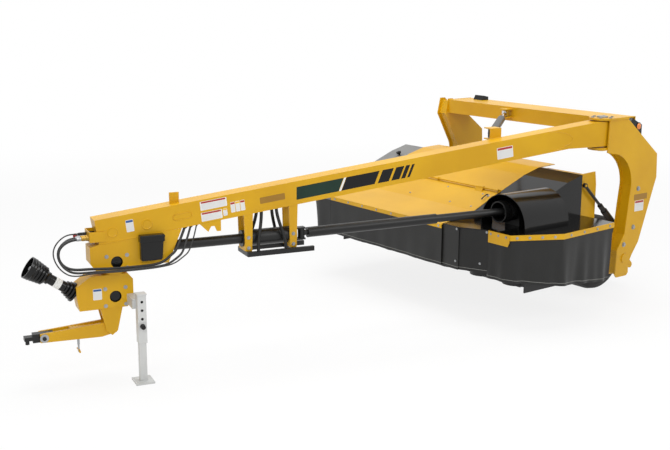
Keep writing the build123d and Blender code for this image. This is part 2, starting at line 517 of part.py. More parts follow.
# Rear outlet between the wheels
CHUTE_X = 440
top = side_plate([(110, 1200), (640, 960), (640, 954), (110, 1194)], (-CHUTE_X, CHUTE_X))
cheek = [(110, 1200), (640, 960), (640, 560), (110, 500)]
for side in (-1, 1):
    top += side_plate(cheek, sorted((side * CHUTE_X, side * (CHUTE_X - 6))))
nodes["swath_chute"] = top

# The origin goes under the middle of the whole machine
whole = Compound(children=[Compound(children=node.solids()) for node in nodes.values()]).bounding_box()
ORIGIN = ((whole.min.X + whole.max.X) / 2, (whole.min.Y + whole.max.Y) / 2, whole.min.Z)

for name, node in nodes.items():
    export_step(Pos(*[-v for v in ORIGIN]) * Compound(children=node.solids()), f"parts/{name}.step")
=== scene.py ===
from math import cos, pi, radians, sin

import bmesh
import bpy
from mathutils import Matrix, Vector


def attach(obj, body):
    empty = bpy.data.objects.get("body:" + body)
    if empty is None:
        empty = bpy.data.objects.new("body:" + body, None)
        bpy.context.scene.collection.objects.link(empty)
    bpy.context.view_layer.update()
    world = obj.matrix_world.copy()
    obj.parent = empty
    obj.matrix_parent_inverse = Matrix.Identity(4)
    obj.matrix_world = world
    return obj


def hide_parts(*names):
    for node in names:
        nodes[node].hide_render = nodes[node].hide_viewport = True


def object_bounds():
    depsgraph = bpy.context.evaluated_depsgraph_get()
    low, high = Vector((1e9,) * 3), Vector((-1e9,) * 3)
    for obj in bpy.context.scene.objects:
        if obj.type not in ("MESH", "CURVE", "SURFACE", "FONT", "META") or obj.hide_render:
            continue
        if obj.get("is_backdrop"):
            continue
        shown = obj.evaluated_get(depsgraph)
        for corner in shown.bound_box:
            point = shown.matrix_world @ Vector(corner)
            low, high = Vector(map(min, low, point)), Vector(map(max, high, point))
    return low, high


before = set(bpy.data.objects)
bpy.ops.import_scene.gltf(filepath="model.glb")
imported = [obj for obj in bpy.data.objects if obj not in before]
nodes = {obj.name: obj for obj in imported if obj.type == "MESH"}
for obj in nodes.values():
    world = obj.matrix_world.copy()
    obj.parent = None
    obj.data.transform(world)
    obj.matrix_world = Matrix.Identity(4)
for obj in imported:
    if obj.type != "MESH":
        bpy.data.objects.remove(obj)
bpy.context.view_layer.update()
scene = bpy.context.scene


# Camera: at the photograph's place, by the machine's left front corner.
# Its turn, dip and roll and its focal length in photo pixels were solved from the machine's straight edges.
photo_width, photo_height = 670, 450
focal_px = 1057.62
principal_px = (327.75, 214.06)
camera_at = Vector((7.700, -6.0075, 3.064))
camera_yaw, camera_dip, camera_roll = 0.9245, 0.2072, 0.0027
camera = bpy.data.objects.new("camera", bpy.data.cameras.new("camera"))
camera.data.sensor_width = 36
camera.data.lens = camera.data.sensor_width * focal_px / photo_width
camera.data.shift_x = (photo_width / 2 - principal_px[0]) / photo_width
camera.data.shift_y = (principal_px[1] - photo_height / 2) / photo_width
camera.data.clip_end = 500
turn = Matrix.Rotation(camera_yaw, 4, "Z") @ Matrix.Rotation(pi / 2 - camera_dip, 4, "X")
camera.matrix_world = Matrix.Translation(camera_at) @ turn @ Matrix.Rotation(camera_roll, 4, "Z")
scene.collection.objects.link(camera)
scene.camera = camera


# Studio: a pale floor, a white surround and three large soft lamps.
# The floor and the world show white to the camera and in reflections. The floor keeps the machine's
# shadow and fades into the white surround further out.
def seen_factor(tree):
    """1 for rays that show the background as it is: from the camera, a glossy surface or glass."""
    path = tree.nodes.new("ShaderNodeLightPath")
    shown = path.outputs["Is Camera Ray"]
    for output in ("Is Glossy Ray", "Is Transmission Ray"):
        larger = tree.nodes.new("ShaderNodeMath")
        larger.operation = "MAXIMUM"
        tree.links.new(shown, larger.inputs[0])
        tree.links.new(path.outputs[output], larger.inputs[1])
        shown = larger.outputs[0]
    return shown


def show_white(tree, shown, plain, white, output):
    """Mixes a plain shader with a white one, by how far a ray shows the background."""
    mix = tree.nodes.new("ShaderNodeMixShader")
    tree.links.new(shown, mix.inputs["Fac"])
    tree.links.new(plain.outputs[0], mix.inputs[1])
    tree.links.new(white.outputs[0], mix.inputs[2])
    tree.links.new(mix.outputs[0], tree.nodes[output].inputs["Surface"])


scene.view_settings.view_transform = "Standard"
room_light = 0.38
world = bpy.data.worlds.new("studio")
scene.world = world
world.use_nodes = True
sky = world.node_tree
sky.nodes["Background"].inputs["Color"].default_value = (1, 1, 1, 1)
sky.nodes["Background"].inputs["Strength"].default_value = room_light
white_sky = sky.nodes.new("ShaderNodeBackground")
white_sky.inputs["Color"].default_value = (1, 1, 1, 1)
white_sky.inputs["Strength"].default_value = 1
show_white(sky, seen_factor(sky), sky.nodes["Background"], white_sky, "World Output")

floor_radius = 120
floor_sides = 64
fade_start = 4
fade_end = 13
white_share = 0.84
floor_mesh = bpy.data.meshes.new("floor")
corner_turns = [2 * pi * i / floor_sides for i in range(floor_sides)]
ring = [(floor_radius * cos(a), floor_radius * sin(a), 0) for a in corner_turns]
floor_mesh.from_pydata(ring, [], [list(range(floor_sides))])
floor = bpy.data.objects.new("floor", floor_mesh)
scene.collection.objects.link(floor)
floor_paint = bpy.data.materials.new("floor")
floor_paint.use_nodes = True
tree = floor_paint.node_tree
floor_shader = tree.nodes["Principled BSDF"]
floor_shader.inputs["Base Color"].default_value = (0.86, 0.86, 0.86, 1)
floor_shader.inputs["Roughness"].default_value = 0.9
glow = tree.nodes.new("ShaderNodeEmission")
glow.inputs["Strength"].default_value = 1
floor_place = tree.nodes.new("ShaderNodeTexCoord")
from_middle = tree.nodes.new("ShaderNodeVectorMath")
from_middle.operation = "LENGTH"
tree.links.new(floor_place.outputs["Object"], from_middle.inputs[0])
fade = tree.nodes.new("ShaderNodeMapRange")
fade.interpolation_type = "SMOOTHSTEP"
fade.inputs["From Min"].default_value = fade_start
fade.inputs["From Max"].default_value = fade_end
fade.inputs["To Min"].default_value = white_share
fade.inputs["To Max"].default_value = 1
tree.links.new(from_middle.outputs["Value"], fade.inputs["Value"])
share = tree.nodes.new("ShaderNodeMath")
share.operation = "MULTIPLY"
tree.links.new(seen_factor(tree), share.inputs[0])
tree.links.new(fade.outputs["Result"], share.inputs[1])
show_white(tree, share.outputs[0], floor_shader, glow, "Material Output")
floor_mesh.materials.append(floor_paint)
floor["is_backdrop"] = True

lamp_aim = Vector((0, 0, 1))
# columns: name, place, width, height, power in watts; each lamp looks at the same point in the middle
for name, place, width, height, power in (
    ("key", (6.5, -7.5, 8.5), 7, 5, 440),
    ("side", (9.0, 3.0, 6.5), 5, 4, 230),
    ("top", (-1.0, 0.5, 9.5), 9, 7, 700),
):
    lamp = bpy.data.lights.new(name, "AREA")
    lamp.shape = "RECTANGLE"
    lamp.size = width
    lamp.size_y = height
    lamp.energy = power
    lamp_object = bpy.data.objects.new(name, lamp)
    lamp_object.location = place
    lamp_object.rotation_euler = (lamp_aim - Vector(place)).to_track_quat("-Z", "Y").to_euler()
    scene.collection.objects.link(lamp_object)


# Yellow paint: sprayed enamel over welded and folded steel.
# It has faint orange peel and a slow drift of colour and gloss.
def linear(red, green, blue):
    """A colour given as 0 to 255 on the screen, as the shader's own values."""
    parts = [v / 255 for v in (red, green, blue)]
    return tuple(v / 12.92 if v <= 0.04045 else ((v + 0.055) / 1.055) ** 2.4 for v in parts) + (1,)


def finish(name, colours, roughness, grain, bump=0.0, metallic=0.0, coat=0.0, specular=0.5):
    """A material whose colour and gloss drift between two values with noise of a grain in metres."""
    material = bpy.data.materials.new(name)
    material.use_nodes = True
    tree = material.node_tree
    shader = tree.nodes["Principled BSDF"]
    shader.inputs["Metallic"].default_value = metallic
    shader.inputs["Coat Weight"].default_value = coat
    shader.inputs["Coat Roughness"].default_value = 0.12
    shader.inputs["Specular IOR Level"].default_value = specular
    place = tree.nodes.new("ShaderNodeTexCoord").outputs["Object"]
    slow = tree.nodes.new("ShaderNodeTexNoise")
    slow.inputs["Scale"].default_value = 1.6
    slow.inputs["Detail"].default_value = 5
    fine = tree.nodes.new("ShaderNodeTexNoise")
    fine.inputs["Scale"].default_value = 1 / grain
    fine.inputs["Detail"].default_value = 3
    tree.links.new(place, slow.inputs["Vector"])
    tree.links.new(place, fine.inputs["Vector"])
    shade = tree.nodes.new("ShaderNodeValToRGB")
    shade.color_ramp.elements[0].position = 0.35
    shade.color_ramp.elements[1].position = 0.68
    for element, colour in zip(shade.color_ramp.elements, colours):
        element.color = linear(*colour)
    tree.links.new(slow.outputs["Fac"], shade.inputs["Fac"])
    tree.links.new(shade.outputs["Color"], shader.inputs["Base Color"])
    gloss = tree.nodes.new("ShaderNodeMapRange")
    gloss.inputs["To Min"].default_value = roughness[0]
    gloss.inputs["To Max"].default_value = roughness[1]
    tree.links.new(fine.outputs["Fac"], gloss.inputs["Value"])
    tree.links.new(gloss.outputs["Result"], shader.inputs["Roughness"])
    if bump:
        relief = tree.nodes.new("ShaderNodeBump")
        relief.inputs["Strength"].default_value = bump
        relief.inputs["Distance"].default_value = 0.002
        tree.links.new(fine.outputs["Fac"], relief.inputs["Height"])
        tree.links.new(relief.outputs["Normal"], shader.inputs["Normal"])
    return material


def paint_nodes(material, *names):
    """Gives CAD nodes a material in place of their plain one."""
    for name in names:
        nodes[name].data.materials.clear()
        nodes[name].data.materials.append(material)


yellow_coat = {"colours": [(206, 155, 6), (218, 168, 12)], "roughness": (0.34, 0.46), "grain": 0.004,
               "bump": 0.04, "coat": 0.1, "specular": 0.32}
yellow = finish("yellow_paint", **yellow_coat)
paint_nodes(yellow, "leg_left", "leg_right", "beam", "pivot_plates", "wheel_arm_left", "wheel_arm_right",
            "header_link_left", "header_link_right", "tongue", "swing_bracket", "gearbox_upper",
            "gearbox_lower", "hitch_fork", "hood_middle", "front_cover", "trim_near",
            "shaft_carriers", "rim_left", "rim_right")


# Header structure: the same yellow above, and black underbody paint on the low half of its end plates.
# The two coats meet at a level line, masked off when it was sprayed.
def overlay(material, mask, colour):
    """A second colour over a material's own, where a mask is 1."""
    tree = material.node_tree
    shader = tree.nodes["Principled BSDF"]
    drawn = shader.inputs["Base Color"].links[0].from_socket
    blend = tree.nodes.new("ShaderNodeMix")
    blend.data_type = "RGBA"
    blend.inputs["B"].default_value = linear(*colour)
    tree.links.new(mask, blend.inputs["Factor"])
    tree.links.new(drawn, blend.inputs["A"])
    tree.links.new(blend.outputs["Result"], shader.inputs["Base Color"])


def underbody(material, level):
    """Black below a height, over a paint that is already made."""
    tree = material.node_tree
    place = tree.nodes.new("ShaderNodeTexCoord")
    apart = tree.nodes.new("ShaderNodeSeparateXYZ")
    tree.links.new(place.outputs["Object"], apart.inputs[0])
    lower = tree.nodes.new("ShaderNodeMath")
    lower.operation = "LESS_THAN"
    lower.inputs[1].default_value = level
    tree.links.new(apart.outputs["Z"], lower.inputs[0])
    overlay(material, lower.outputs[0], (18, 18, 18))


coat_line = 0.62
two_coats = finish("two_coats", **yellow_coat)
underbody(two_coats, coat_line)
paint_nodes(two_coats, "header_frame")


# Black pieces: cylinders and shafts in satin enamel, shields in moulded plastic, tyres and rolls in rubber.
# The curtains' own nodes get a plain cloth colour, and the hung cloth below takes their place.
black = finish("black_paint", [(16, 16, 16), (24, 24, 23)], (0.3, 0.45), 0.003, 0.05, coat=0.05,
               specular=0.35)
paint_nodes(black, "lift_cylinder_left", "lift_cylinder_right", "swing_barrel", "strut", "shaft_guard",
            "shaft_front", "shaft_rear", "shaft_slip", "hitch_block", "cutterbar", "skid_shoes",
            "swath_chute", "header_gearbox")
plastic = finish("black_plastic", [(11, 11, 11), (17, 17, 17)], (0.1, 0.2), 0.006, 0.03, specular=0.32)
paint_nodes(plastic, "drive_shield", "deck_near", "pto_guard", "manual_box", "lamps")
rubber = finish("rubber", [(26, 26, 26), (36, 35, 34)], (0.7, 0.85), 0.002, 0.15)
paint_nodes(rubber, "tyre_left", "tyre_right", "roll_lower", "roll_upper")
curtain = finish("curtain", [(34, 34, 33), (46, 46, 45)], (0.5, 0.62), 0.0025, 0.2)
paint_nodes(curtain, "curtain_cover", "curtain_far", "curtain_flaps", "curtain_near")


# Bare, plated and moulded pieces: a zinc pivot pin, a galvanised jack, a chrome swing rod, a grey far
# shield and ground steel discs. Zinc and amber also go on the bolts and the lamp lenses below.
zinc = finish("zinc", [(150, 152, 154), (176, 178, 180)], (0.32, 0.5), 0.01, 0.06, metallic=0.85)
paint_nodes(zinc, "pivot_pin")
galvanised = finish("galvanised", [(186, 188, 187), (206, 207, 205)], (0.38, 0.55), 0.012, 0.05,
                    metallic=0.25)
paint_nodes(galvanised, "jack_sleeve", "jack_leg")
chrome = finish("chrome", [(200, 202, 205), (214, 215, 217)], (0.06, 0.12), 0.004, metallic=1)
paint_nodes(chrome, "swing_rod")
grey = finish("grey_shield", [(112, 112, 111), (124, 124, 122)], (0.35, 0.48), 0.005, 0.05)
paint_nodes(grey, "hood_far")
steel = finish("steel", [(120, 120, 122), (146, 146, 148)], (0.3, 0.5), 0.003, 0.08, metallic=1)
paint_nodes(steel, "disc_1", "disc_2", "disc_3", "disc_4", "disc_5", "disc_6")
amber = finish("amber_lens", [(224, 112, 6), (238, 134, 12)], (0.12, 0.2), 0.003, 0.04, coat=0.5)


# Hoses and cable: two rubber hydraulic hoses and a thin light cable, free between their fittings.
# They leave the couplings at the tongue's front, hang round the upper housing and end under the tongue.
# Places by the tongue are given across it, along it from its swing pivot, and as a height.
tongue_at = Matrix.Translation((1.16195, 2.243535, 0)) @ Matrix.Rotation(radians(-13.1), 4, "Z")
tongue_root = 1.663
tongue_fall = 0.114


def tongue_point(n, s, z):
    """A point beside the tongue, given across it, along it from the pivot, and as a height."""
    return tongue_at @ Vector((n, -s, z))


def underside(s):
    """Height of the tongue's underside."""
    return tongue_root - tongue_fall * s


def round_line(name, points, radius, steps, roundness, material):
    """A round bar or hose through points, as a curve with smooth turns."""
    line = bpy.data.curves.new(name, "CURVE")
    line.dimensions = "3D"
    line.resolution_u = steps
    line.bevel_depth = radius
    line.bevel_resolution = roundness
    line.use_fill_caps = True
    spline = line.splines.new("NURBS")
    spline.points.add(len(points) - 1)
    for item, place in zip(spline.points, points):
        item.co = (*place, 1)
    spline.order_u = 3
    spline.use_endpoint_u = True
    line.materials.append(material)
    holder = bpy.data.objects.new(name, line)
    scene.collection.objects.link(holder)
    return holder


# columns: name, diameter, length, low points (across, along, height), last points (across, along, drop)
hose_table = (
    ("hose_main", 0.022, 1.592,
     [(0.070, 4.940, 1.157), (0.070, 5.050, 1.157), (0.070, 5.121, 1.157), (0.088, 5.190, 1.133),
      (0.099, 5.233, 1.085), (0.111, 5.233, 1.012), (0.122, 5.190, 0.955), (0.134, 5.121, 0.930),
      (0.140, 5.000, 0.928), (0.140, 4.880, 0.918), (0.140, 4.750, 0.912), (0.140, 4.620, 0.910),
      (0.140, 4.500, 0.910), (0.141, 4.410, 0.926), (0.133, 4.346, 0.975)],
     [(0.116, 4.301, 0.174), (0.094, 4.262, 0.107), (0.076, 4.230, 0.055), (0.060, 4.202, 0.000)]),
    ("hose_return", 0.018, 1.700,
     [(0.020, 4.940, 1.157), (0.020, 5.050, 1.157), (0.020, 5.128, 1.157), (0.058, 5.196, 1.128),
      (0.083, 5.235, 1.077), (0.109, 5.235, 1.015), (0.134, 5.196, 0.947), (0.159, 5.128, 0.908),
      (0.172, 5.000, 0.910), (0.172, 4.880, 0.904), (0.172, 4.750, 0.900), (0.172, 4.620, 0.898),
      (0.172, 4.490, 0.900), (0.172, 4.380, 0.912), (0.160, 4.300, 0.955)],
     [(0.135, 4.248, 0.193), (0.106, 4.210, 0.118), (0.080, 4.178, 0.061), (0.060, 4.152, 0.000)]),
    ("cable", 0.011, 1.872,
     [(-0.030, 4.940, 1.180), (-0.030, 5.050, 1.180), (-0.030, 5.142, 1.180), (0.028, 5.222, 1.145),
      (0.066, 5.268, 1.086), (0.104, 5.268, 1.012), (0.142, 5.222, 0.932), (0.181, 5.142, 0.886),
      (0.202, 4.990, 0.908), (0.202, 4.860, 0.902), (0.202, 4.730, 0.900), (0.202, 4.600, 0.899),
      (0.202, 4.470, 0.902), (0.200, 4.340, 0.916), (0.182, 4.255, 0.965)],
     [(0.150, 4.200, 0.194), (0.115, 4.160, 0.128), (0.085, 4.128, 0.072), (0.060, 4.102, 0.000)]),
)
hose_rubber = finish("hose_rubber", [(18, 18, 18), (27, 27, 26)], (0.42, 0.58), 0.002, 0.12)
for name, diameter, length, low, rise in hose_table:
    route = low + [(n, s, underside(s) - drop) for n, s, drop in rise]
    points = [tongue_point(*place) for place in route]
    hose = round_line(name + "_line", points, diameter / 2, 8, 5, hose_rubber)
    hose.name = name + "_soft"
    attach(hose, "tongue")


# Stripes on the tongue: vinyl film on its near side, in green, white and black.
# The bars lean forward, and the side behind them stays bare.
tongue_face = 0.085
tongue_tall = 0.201
film_thick = 0.0005
stripe_top = 0.748
stripe_foot = 0.205
stripe_lean = 0.048


def add_piece(name, body, slot, mesh, *materials):
    """A new piece from a mesh, on a body, with its materials."""
    for material in materials:
        mesh.materials.append(material)
    piece = bpy.data.objects.new(name, mesh)
    scene.collection.objects.link(piece)
    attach(piece, body)
    return piece


def film(name, shapes):
    """Flat film on the tongue's near side from (along, height share) outlines, with a thin edge."""
    mesh = bpy.data.meshes.new(name)
    form = bmesh.new()
    for shape in shapes:
        rings = []
        for n in (tongue_face, tongue_face + film_thick):
            ring = [tongue_point(n, s, underside(s) + tongue_tall * v) for s, v in shape]
            rings.append([form.verts.new(p) for p in ring])
        form.faces.new(rings[1])
        for i in range(len(shape)):
            j = (i + 1) % len(shape)
            form.faces.new((rings[0][i], rings[0][j], rings[1][j], rings[1][i]))
    bmesh.ops.recalc_face_normals(form, faces=form.faces)
    form.to_mesh(mesh)
    form.free()
    return mesh


def leaning(front, rear):
    """A bar between two places at its top, that leans forward towards its foot."""
    return [(front, stripe_top), (rear, stripe_top), (rear + stripe_lean, stripe_foot),
            (front + stripe_lean, stripe_foot)]


film_black = finish("film_black", [(14, 14, 15), (20, 20, 21)], (0.2, 0.3), 0.003, 0.02, specular=0.25)
film_green = finish("film_green", [(20, 44, 34), (28, 54, 43)], (0.2, 0.3), 0.003, 0.02, specular=0.25)
film_white = finish("film_white", [(226, 226, 222), (240, 240, 236)], (0.25, 0.36), 0.003, 0.02)
bars = [(2.760, 2.442), (2.411, 2.302), (2.278, 2.198), (2.181, 2.140), (2.120, 2.094)]
green_shape = [(3.226, stripe_top), (2.787, stripe_top), (2.835, stripe_foot), (3.226, stripe_foot)]
# columns: name, slot, outlines, film
for name, slot, shapes, material in (
    ("stripe_black", "black_paint", [leaning(*b) for b in bars], film_black),
    ("stripe_white", "yellow_paint", [leaning(2.783, 2.763)], film_white),
    ("stripe_green", "black_paint", [green_shape], film_green),
):
    add_piece(name, "tongue", slot, film(name, shapes), material)


# Blank labels: thin printed plates with a coloured band and a framed field, without words.
# They are stuck on the tongue's near side, the near leg, the lower housing and the front cover.
# Places on the header and frame are given from the machine's middle, abreast of its swing pivot.
machine = Vector((-0.02805, 2.243535, 0))


def machine_point(x, y, z):
    """A point given from the machine's middle."""
    return Vector((x + machine.x, y + machine.y, z))


def label(name, body, at, across, up, width, height, band):
    """A rounded plate about a point, with a raised field and a band along its top edge."""
    out = across.cross(up).normalized()
    mesh = bpy.data.meshes.new(name)
    form = bmesh.new()

    def patch(x0, x1, y0, y1, low, high, corner, index):
        ring = []
        for cx, cy, start in ((x1, y1, 0), (x0, y1, 90), (x0, y0, 180), (x1, y0, 270)):
            mx = cx - corner if cx == x1 else cx + corner
            my = cy - corner if cy == y1 else cy + corner
            for k in range(5):
                turn = radians(start + 22.5 * k)
                ring.append((mx + corner * cos(turn), my + corner * sin(turn)))
        rings = [[form.verts.new(at + across * x + up * y + out * h) for x, y in ring] for h in (low, high)]
        form.faces.new(rings[1]).material_index = index
        for i in range(len(ring)):
            j = (i + 1) % len(ring)
            form.faces.new((rings[0][i], rings[0][j], rings[1][j], rings[1][i])).material_index = index

    w, h = width / 2, height / 2
    patch(-w, w, -h, h, 0, 0.0006, 0.006, 0)
    patch(-w * 0.92, w * 0.92, h * 0.55, h * 0.92, 0.0005, 0.0009, 0.003, 1)
    patch(-w * 0.9, w * 0.9, -h * 0.9, h * 0.45, 0.0005, 0.0008, 0.003, 2)
    bmesh.ops.recalc_face_normals(form, faces=form.faces)
    form.to_mesh(mesh)
    form.free()
    base, field = (label_gold, label_gold) if band is label_gold else (film_white, label_field)
    return add_piece(name, body, "yellow_paint", mesh, base, band, field)


label_red = finish("label_red", [(160, 30, 24), (178, 40, 32)], (0.3, 0.4), 0.002, 0.02)
label_yellow = finish("label_yellow", [(226, 176, 32), (236, 190, 50)], (0.3, 0.4), 0.002, 0.02)
label_blue = finish("label_blue", [(24, 74, 140), (32, 88, 158)], (0.3, 0.4), 0.002, 0.02)
label_field = finish("label_field", [(214, 214, 212), (228, 228, 226)], (0.35, 0.5), 0.002, 0.03)
label_gold = finish("label_gold", [(150, 108, 18), (166, 122, 26)], (0.35, 0.5), 0.003, 0.05)
tongue_turn = tongue_at.to_3x3()
rear_mark = tongue_point(tongue_face, 3.0, underside(3.0))
front_mark = tongue_point(tongue_face, 3.1, underside(3.1))
rearward = (rear_mark - front_mark).normalized()
tongue_up = (tongue_turn @ Vector((1, 0, 0))).cross(rearward).normalized()
# columns: name, along, height share, width, height, band
for name, s, v, width, height, band in (
    ("label_rear", 1.152, 0.44, 0.172, 0.106, label_red),
    ("label_a", 3.795, 0.44, 0.038, 0.088, label_red),
    ("label_b", 3.752, 0.44, 0.038, 0.088, label_yellow),
    ("label_c", 3.709, 0.44, 0.038, 0.088, label_red),
    ("plate_gold", 3.444, 0.47, 0.226, 0.054, label_gold),
    ("label_d", 3.962, 0.735, 0.23, 0.074, label_red),
    ("label_e", 3.978, 0.27, 0.18, 0.074, label_red),
    ("label_f", 3.862, 0.30, 0.036, 0.062, label_yellow),
    ("label_g", 4.66, 0.52, 0.062, 0.098, label_blue),
):
    at = tongue_point(tongue_face, s, underside(s) + tongue_tall * v)
    label(name, "tongue", at, rearward, tongue_up, width, height, band)
leg_side = 1.302
rear_way = Vector((0, 1, 0))
upright = Vector((0, 0, 1))
for name, y, z, width, height, band in (
    ("label_leg", 0.508, 0.973, 0.14, 0.108, label_red),
    ("plate_leg", 0.523, 1.063, 0.21, 0.06, label_gold),
):
    label(name, "frame", machine_point(leg_side, y, z), rear_way, upright, width, height, band)
label("label_swivel", "swivel", tongue_point(tongue_face, 4.94, 0.70), tongue_turn @ rear_way, upright,
      0.07, 0.09, label_blue)
label("label_cover", "cover", machine_point(0.38, -1.36, 0.928), Vector((1, 0, 0)),
      Vector((0, 0.9836, 0.1807)), 0.17, 0.10, label_red)


# Curtains: rubber-coated cloth hung from the hood's lips, folded a little more towards its hem.
# Each is sewn at the hem and held at its top edge by the hood or the deck. The flaps are two sheets.
sewn_height = 0.026
sewn_half = 0.0024
cloth_rows = 18
cloth_step = 0.012
corner_reach = round(0.11 / cloth_step)


def curtain_finish():
    """Coated cloth with a fine grain and a pale sewn line over the hem."""
    material = finish("curtain_cloth", [(20, 20, 19), (31, 31, 30)], (0.38, 0.52), 0.0018, 0.2,
                      specular=0.36)
    tree = material.node_tree
    sewn = tree.nodes.new("ShaderNodeUVMap")
    sewn.uv_map = "cut"
    apart = tree.nodes.new("ShaderNodeSeparateXYZ")
    tree.links.new(sewn.outputs["UV"], apart.inputs[0])
    near_line = tree.nodes.new("ShaderNodeMath")
    near_line.operation = "COMPARE"
    near_line.inputs[1].default_value = sewn_height
    near_line.inputs[2].default_value = sewn_half
    tree.links.new(apart.outputs["Y"], near_line.inputs[0])
    overlay(material, near_line.outputs[0], (120, 120, 116))
    return material


def hang(name, runs, top, foot, folds):
    """A sheet along runs of (x, y) corners down to its hem, with rounder corners and deeper folds there."""
    mesh = bpy.data.meshes.new(name)
    form = bmesh.new()
    cut = form.loops.layers.uv.new("cut")
    length = 0
    area = 0
    for run in runs:
        stations = []
        for (x0, y0), (x1, y1) in zip(run, run[1:]):
            side = Vector((x1 - x0, y1 - y0, 0))
            steps = max(2, round(side.length / cloth_step))
            out = Vector((side.y, -side.x, 0)).normalized()
            for i in range(steps + (run[-1] == (x1, y1))):
                place = Vector((x0, y0, 0)) + side * (i / steps)
                stations.append((place, out, length + side.length * i / steps))
            length += side.length
        columns = []
        for i, (place, out, along) in enumerate(stations):
            hem = foot(place.y - machine.y)
            room = min(corner_reach, i, len(stations) - 1 - i)
            beside = [s[0] for s in stations[i - room:i + room + 1]]
            eased = sum(beside, Vector()) / len(beside)
            broad, mid, fine, depth = folds
            wave = sin(along * broad) + 0.6 * sin(along * mid + 1.3) + 0.4 * sin(along * fine + 0.5)
            column = []
            for r in range(cloth_rows + 1):
                down = r / cloth_rows
                shift = depth * down ** 1.2 * wave
                height = top + (hem - top) * down
                spot = place.lerp(eased, down ** 0.5) + out * shift + Vector((0, 0, height))
                column.append((form.verts.new(spot), along, height - hem))
            columns.append(column)
        for left, right in zip(columns, columns[1:]):
            area += (right[0][1] - left[0][1]) * (left[0][2] + right[0][2]) / 2
            for r in range(cloth_rows):
                corners = (left[r], left[r + 1], right[r + 1], right[r])
                face = form.faces.new([c[0] for c in corners])
                face.smooth = True
                for loop, corner in zip(face.loops, corners):
                    loop[cut].uv = corner[1:]
    tall = max(top - foot(y - machine.y) for run in runs for _, y in run)
    form.to_mesh(mesh)
    form.free()
    return mesh, length, tall, area


cloth = curtain_finish()
lip = 0.866
deck_under = 0.912
flat_hem = 0.504
skirt_front = -1.341
skirt_run = 1.2
skirt_hems = (0.468, 0.350)


def level_hem(y):
    """The front curtains' hem."""
    return flat_hem


def slanted_hem(y):
    """The near skirt's hem, which falls towards the rear."""
    return skirt_hems[0] + (y - skirt_front) / skirt_run * (skirt_hems[1] - skirt_hems[0])


# columns: node, body, top, hem, three fold rates and the folds' depth, runs of (x, y) corners
for node, body, top, foot, folds, runs in (
    ("curtain_cover", "cover", lip, level_hem, (5, 13, 29, 0.005), [[(-1.1975, -1.476), (0.549, -1.476)]]),
    ("curtain_far", "frame", lip, level_hem, (5, 14, 31, 0.004),
     [[(-1.496, -0.15), (-1.496, -1.476), (-1.2, -1.476)]]),
    ("curtain_flaps", "frame", deck_under, level_hem, (14, 31, 52, 0.0016),
     [[(0.5005, -1.4605), (0.7705, -1.4665)], [(0.7570, -1.4580), (1.0320, -1.3370)]]),
    ("curtain_near", "frame", deck_under, slanted_hem, (11, 23, 41, 0.014),
     [[(1.034, -1.3405), (1.308, -1.341), (1.545, -0.9), (1.496, -0.139)]]),
):
    shifted = [[(x + machine.x, y + machine.y) for x, y in run] for run in runs]
    mesh, width, tall, area = hang(node + "_cloth", shifted, top, foot, folds)
    piece = add_piece(node + "_cloth", body, "curtain", mesh, cloth)
    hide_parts(node)


# Bolts: zinc hexagon heads on washers, screwed through plates, trim, lips and rims.
# One node group sets a head on each point, turned to face out of its plate.
def bolt_group():
    """A node group that sets a hexagon head and its washer on each point."""
    group = bpy.data.node_groups.new("hex_bolts", "GeometryNodeTree")
    for name, kind in (("Points", "Geometry"), ("Head", "Float"), ("Seed", "Int"), ("Finish", "Material")):
        group.interface.new_socket(name, in_out="INPUT", socket_type="NodeSocket" + kind)
    group.interface.new_socket("Bolts", in_out="OUTPUT", socket_type="NodeSocketGeometry")
    add = group.nodes.new
    link = group.links.new
    given = add("NodeGroupInput")
    both = add("GeometryNodeJoinGeometry")
    # columns: corners, radius, depth, height of the middle
    for corners, radius, depth, middle in ((6, 1.0, 0.62, 0.5), (24, 1.45, 0.2, 0.1)):
        solid = add("GeometryNodeMeshCylinder")
        solid.inputs["Vertices"].default_value = corners
        solid.inputs["Radius"].default_value = radius
        solid.inputs["Depth"].default_value = depth
        raised = add("GeometryNodeTransform")
        raised.inputs["Translation"].default_value = (0, 0, middle)
        link(solid.outputs["Mesh"], raised.inputs["Geometry"])
        link(raised.outputs["Geometry"], both.inputs["Geometry"])
    facing = add("GeometryNodeInputNamedAttribute")
    facing.data_type = "FLOAT_VECTOR"
    facing.inputs["Name"].default_value = "facing"
    aim = add("FunctionNodeAlignRotationToVector")
    aim.axis = "Z"
    link(facing.outputs["Attribute"], aim.inputs["Vector"])
    roll = add("FunctionNodeRandomValue")
    roll.data_type = "FLOAT"
    roll.inputs[3].default_value = 1.05
    link(given.outputs["Seed"], roll.inputs["Seed"])
    about = add("ShaderNodeCombineXYZ")
    link(roll.outputs[1], about.inputs["Z"])
    as_turn = add("FunctionNodeEulerToRotation")
    link(about.outputs["Vector"], as_turn.inputs["Euler"])
    turned = add("FunctionNodeRotateRotation")
    turned.rotation_space = "LOCAL"
    link(aim.outputs["Rotation"], turned.inputs["Rotation"])
    link(as_turn.outputs["Rotation"], turned.inputs["Rotate By"])
    spread = add("GeometryNodeInstanceOnPoints")
    link(given.outputs["Points"], spread.inputs["Points"])
    link(both.outputs["Geometry"], spread.inputs["Instance"])
    link(turned.outputs["Rotation"], spread.inputs["Rotation"])
    link(given.outputs["Head"], spread.inputs["Scale"])
    real = add("GeometryNodeRealizeInstances")
    link(spread.outputs["Instances"], real.inputs["Geometry"])
    painted = add("GeometryNodeSetMaterial")
    link(real.outputs["Geometry"], painted.inputs["Geometry"])
    link(given.outputs["Finish"], painted.inputs["Material"])
    out = add("NodeGroupOutput")
    link(painted.outputs["Geometry"], out.inputs["Bolts"])
    return group


